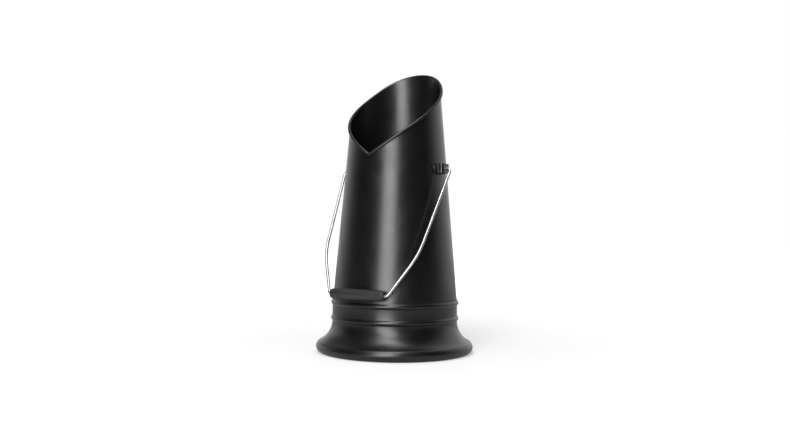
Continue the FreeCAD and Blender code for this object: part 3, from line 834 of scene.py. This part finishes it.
CAMERA_PLACE = Vector((0.7798, -1.2749, 0.2224))
CAMERA_AIM = Vector((-0.0012, -0.0007, 0.2350))
CAMERA_TURN = math.atan2(CAMERA_PLACE.x, -CAMERA_PLACE.y)
FLOOR_HALF = 6.0
FLOOR_FRONT = 0.74
NEAR_GLOW = 0.42
FAR_GLOW = 0.85
GLOW_START = 0.25
GLOW_FULL = 1.5
MIRRORED_GLOW = 0.1
PAPER = "#a8a8a8"
PAPER_ROUGHNESS = 0.9
WHITE = "#ffffff"

floor_material, tree, place = new_material("white_paper_sweep")
ray = add_node(tree, "ShaderNodeLightPath", {})
reach = add_node(tree, "ShaderNodeVectorMath", {0: place}, operation="LENGTH")
whiteness = add_node(tree, "ShaderNodeMapRange", {
    "Value": reach.outputs["Value"],
    "From Min": GLOW_START, "From Max": GLOW_FULL, "To Min": NEAR_GLOW, "To Max": FAR_GLOW,
})
seen = add_node(tree, "ShaderNodeMath", {
    0: ray.outputs["Is Camera Ray"], 1: ray.outputs["Is Transmission Ray"],
}, operation="MAXIMUM")
mirrored_share = add_node(tree, "ShaderNodeMath", {
    0: ray.outputs["Is Glossy Ray"], 1: MIRRORED_GLOW,
}, operation="MULTIPLY")
glow = add_node(tree, "ShaderNodeMath", {
    0: seen.outputs["Value"], 1: whiteness.outputs["Result"], 2: mirrored_share.outputs["Value"],
}, operation="MULTIPLY_ADD")
paper = add_node(tree, "ShaderNodeBsdfPrincipled", {
    "Base Color": linear(PAPER),
    "Roughness": PAPER_ROUGHNESS,
    "Emission Color": linear(WHITE),
    "Emission Strength": glow.outputs["Value"],
})
add_node(tree, "ShaderNodeOutputMaterial", {"Surface": paper.outputs["BSDF"]})
bm = bmesh.new()
bmesh.ops.create_grid(bm, x_segments=1, y_segments=1, size=FLOOR_HALF)
bmesh.ops.translate(bm, verts=bm.verts[:], vec=(0, FLOOR_HALF - FLOOR_FRONT, 0))
bmesh.ops.rotate(bm, verts=bm.verts[:], cent=(0, 0, 0), matrix=Matrix.Rotation(CAMERA_TURN, 3, "Z"))
floor = finish_piece(bm, "floor", floor_material)

# Studio: a white cove behind the hod, flagged dark at its upper left, lights the hod's outline, and the room
# in front of it is dim. Soft boxes in a line from the front to overhead draw the bright line down its
# middle, and a narrow strip box stands behind it.

ROOM_LIGHT = 0.55
COVE_LIGHT = 1.0
DIM_LIGHT = 0.02
COVE_TURN = math.radians(8)
COVE_EDGE = -0.15
COVE_FACE = 0.65
FLAG_TURN = math.radians(32)
FLAG_RISE = math.radians(46)
FLAG_EDGE = 0.79
FLAG_FACE = 0.95
FLAG_SHADE = 0.25
SOFT_BOX_AIM = 0.75

cove_side = Matrix.Rotation(-COVE_TURN, 3, "Z") @ (CAMERA_AIM - CAMERA_PLACE).normalized()
flag_turn = CAMERA_TURN + FLAG_TURN
flag_side = Vector((-math.sin(flag_turn), math.cos(flag_turn), math.tan(FLAG_RISE))).normalized()
world = bpy.data.worlds.new("white_cove_studio")
bpy.context.scene.world = world
world.use_nodes = True
tree = world.node_tree
tree.nodes.clear()
look = add_node(tree, "ShaderNodeTexCoord", {}).outputs["Generated"]
ray = add_node(tree, "ShaderNodeLightPath", {})
behind = add_node(tree, "ShaderNodeVectorMath", {0: look, 1: cove_side}, operation="DOT_PRODUCT")
cove = add_node(tree, "ShaderNodeMapRange", {
    "Value": behind.outputs["Value"],
    "From Min": COVE_EDGE, "From Max": COVE_FACE, "To Min": DIM_LIGHT, "To Max": COVE_LIGHT,
}, interpolation_type="SMOOTHSTEP")
high_left = add_node(tree, "ShaderNodeVectorMath", {0: look, 1: flag_side}, operation="DOT_PRODUCT")
flag = add_node(tree, "ShaderNodeMapRange", {
    "Value": high_left.outputs["Value"],
    "From Min": FLAG_EDGE, "From Max": FLAG_FACE, "To Min": 1.0, "To Max": FLAG_SHADE,
}, interpolation_type="SMOOTHSTEP")
flagged = add_node(tree, "ShaderNodeMath", {
    0: cove.outputs["Result"], 1: flag.outputs["Result"],
}, operation="MULTIPLY")
mirrored_light = add_node(tree, "ShaderNodeMix", {
    "Factor": ray.outputs["Is Glossy Ray"], "A": ROOM_LIGHT, "B": flagged.outputs["Value"],
})
seen = add_node(tree, "ShaderNodeMath", {
    0: ray.outputs["Is Camera Ray"], 1: ray.outputs["Is Transmission Ray"],
}, operation="MAXIMUM")
seen_light = add_node(tree, "ShaderNodeMix", {
    "Factor": seen.outputs["Value"], "A": mirrored_light.outputs["Result"], "B": COVE_LIGHT,
})
ground = add_node(tree, "ShaderNodeBackground", {
    "Color": linear(WHITE), "Strength": seen_light.outputs["Result"],
})
add_node(tree, "ShaderNodeOutputWorld", {"Surface": ground.outputs["Background"]})


def soft_box(name, turn, distance, height, size, power, lean=0.0):
    """A rectangular lamp with a white front, set round the hod by a turn from the hod's front."""
    lamp = bpy.data.lights.new(name, "AREA")
    lamp.shape = "RECTANGLE"
    lamp.size, lamp.size_y = size
    lamp.energy = power
    box = bpy.data.objects.new(name, lamp)
    box.location = (distance * math.sin(turn), -distance * math.cos(turn), height)
    aim = Vector((0, 0, min(height, SOFT_BOX_AIM)))
    facing = (aim - box.location).to_track_quat("-Z", "Y").to_matrix()
    box.rotation_euler = (facing @ Matrix.Rotation(lean, 3, "Z")).to_euler()
    bpy.context.scene.collection.objects.link(box)


soft_box(
    "front_soft_box", turn=math.radians(18), distance=1.7, height=0.65, size=(0.75, 1.65), power=36.0,
    lean=math.radians(-10),
)
soft_box(
    "upper_soft_box", turn=math.radians(15), distance=1.2, height=1.75, size=(0.75, 1.1), power=18.0,
)
soft_box(
    "top_soft_box", turn=math.radians(15), distance=0.5, height=1.9, size=(0.8, 1.0), power=12.0,
)
soft_box(
    "back_strip_box", turn=CAMERA_TURN + math.pi, distance=1.9, height=0.75, size=(0.22, 1.45), power=6.0,
)

# Camera: at the photograph's place, level with the middle of the hod and to the right of its front, with
# the slight lean that the photograph has.

CAMERA_LEAN = math.radians(0.65)
LENS = 37.9

camera = bpy.data.objects.new("camera", bpy.data.cameras.new("camera"))
camera.data.lens = LENS
camera.location = CAMERA_PLACE
facing = (CAMERA_AIM - CAMERA_PLACE).to_track_quat("-Z", "Y").to_matrix()
camera.rotation_euler = (facing @ Matrix.Rotation(CAMERA_LEAN, 3, "Z")).to_euler()
bpy.context.scene.collection.objects.link(camera)
bpy.context.scene.camera = camera
bpy.context.scene.view_settings.view_transform = "Standard"
